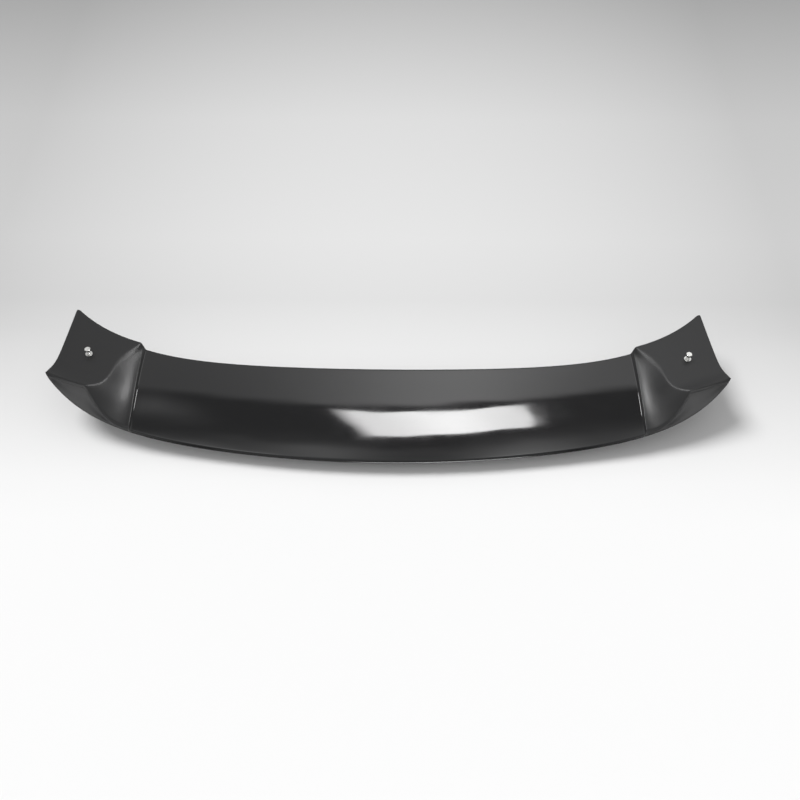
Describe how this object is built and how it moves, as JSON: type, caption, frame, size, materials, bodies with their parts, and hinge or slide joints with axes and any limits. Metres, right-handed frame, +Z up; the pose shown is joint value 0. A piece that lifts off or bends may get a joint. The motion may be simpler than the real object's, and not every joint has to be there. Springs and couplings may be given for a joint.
{
  "type": "trunk spoiler",
  "caption": "Bowed car boot-lid spoiler with a kicked-up blade between flat moulded feet, held to the lid by short hexagon bolts with loose washers.",
  "frame": {"origin": "midway between the two bolt axes, on the plane of the foot pads that sit on the boot lid", "axes": "+X across the car, +Y forward towards the leading edge, +Z up from the boot lid; the bolts point down along -Z"},
  "size_m": [1.254, 0.3043, 0.0855],
  "materials": {
    "black_plastic": "glossy black moulded ABS",
    "zinc_steel": "zinc plated",
    "washer_steel": "zinc plated",
    "insert_brass": "turned"
  },
  "bodies": {
    "root": {"spoiler_body": "black_plastic", "mounting_bolts": "zinc_steel", "flat_washers": "washer_steel", "threaded_inserts": "insert_brass"}
  },
  "joints": []
}
